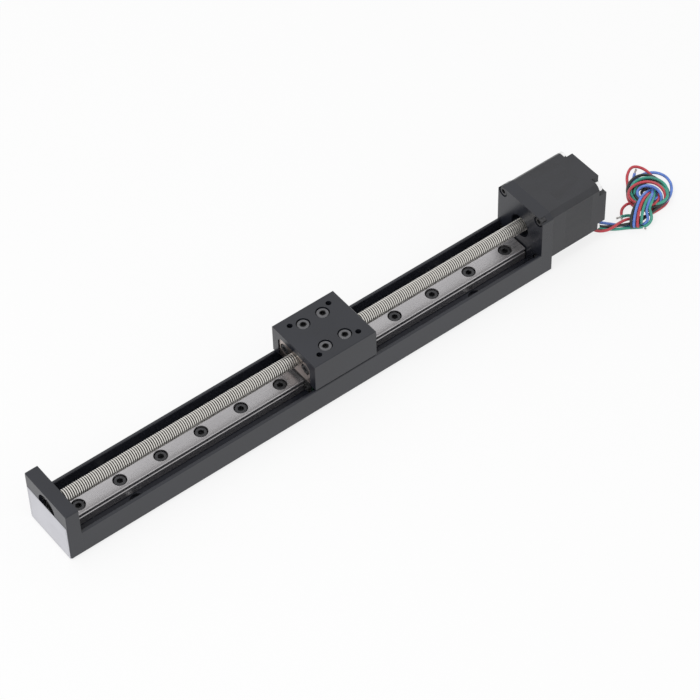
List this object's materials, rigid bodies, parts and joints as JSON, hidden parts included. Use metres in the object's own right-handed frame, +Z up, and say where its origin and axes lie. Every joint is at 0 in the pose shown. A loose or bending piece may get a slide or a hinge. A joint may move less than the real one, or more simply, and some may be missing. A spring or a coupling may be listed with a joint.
{
  "type": "stepper linear actuator",
  "caption": "Compact screw-driven linear stage: a black ball-guided carriage on a steel rail in a channel, moved by a fine lead screw on a small square stepper motor",
  "frame": {"origin": "middle of the rigid body's length and width, on the surface that the channel stands on", "axes": "+X along the travel from the bearing end to the motor, +Y across, +Z up out of the carriage's top face"},
  "size_m": [0.3212, 0.0377, 0.0344],
  "materials": {
    "anodised_black": "black anodised, fine satin grain",
    "motor_black": "matt black coat over steel laminations",
    "motor_cap_black": "matt black coated casting",
    "label_silver": "satin silver film",
    "rail_steel": "ground and lightly brushed",
    "block_steel": "ground",
    "screw_steel": "rolled and polished thread",
    "ring_steel": "polished bearing steel",
    "black_oxide": "black oxide, lightly oiled",
    "bright_steel": "bright zinc plate",
    "nut_bronze": "pale bronze, fine turned",
    "nut_block_metal": "clear anodised",
    "cap_green": "dark green moulded plastic",
    "seal_black": "matt black rubber",
    "guide_white": "white moulded plastic",
    "copper_wire": "enamelled copper",
    "magnet_dark": "sintered magnet",
    "lamination_steel": "ground lamination steel",
    "insulation_blue": "blue wire insulation",
    "insulation_black": "black wire insulation",
    "insulation_green": "green wire insulation",
    "insulation_red": "red wire insulation"
  },
  "bodies": {
    "base": {"base_channel": "anodised_black", "bearing_end_plate": "anodised_black", "end_label": "label_silver", "end_plate_screws": "black_oxide", "motor_plate": "anodised_black", "motor_plate_screws": "black_oxide", "motor_mount_screws": "black_oxide", "end_bearing_outer_ring": "ring_steel", "end_bearing_seals": "seal_black", "motor_bearing_outer_rings": "ring_steel", "motor_bearing_shields": "bright_steel", "motor_front_cap": "motor_cap_black", "motor_stator": "motor_black", "stator_coils": "copper_wire", "motor_rear_cap": "motor_cap_black", "motor_case_screws": "bright_steel", "bearing_wave_washer": "bright_steel", "lead_guide": "guide_white", "guide_rail": "rail_steel", "rail_screws": "black_oxide", "lead_blue": "insulation_blue", "lead_black": "insulation_black", "lead_green": "insulation_green", "lead_red": "insulation_red", "lead_hank": "insulation_blue"},
    "carriage": {"guide_block": "block_steel", "block_end_cap_front": "cap_green", "block_end_cap_rear": "cap_green", "block_seal_front": "seal_black", "block_seal_rear": "seal_black", "block_end_screws_front": "black_oxide", "block_end_screws_rear": "black_oxide", "carriage_cap": "anodised_black", "carriage_screws": "black_oxide", "nut_block": "nut_block_metal", "drive_nut": "nut_bronze", "nut_screws": "black_oxide"},
    "screw": {"lead_screw": "screw_steel", "rotor_cups": "lamination_steel", "rotor_magnet": "magnet_dark", "end_bearing_inner_ring": "ring_steel", "motor_bearing_inner_rings": "ring_steel"}
  },
  "joints": [
    {"name": "screw_spin", "type": "hinge", "parent": "base", "child": "screw", "pos_m": [0, 0, 0.0203], "axis": [1, 0, 0], "range_deg": [-31200, 40812]},
    {"name": "carriage_slide", "type": "slide", "parent": "base", "child": "carriage", "axis": [1, 0, 0], "range_m": [-0.11335, 0.08665]}
  ],
  "couplings": [
    {"joint": "screw_spin", "follows": "carriage_slide", "rad_per_m": -6283.2}
  ]
}
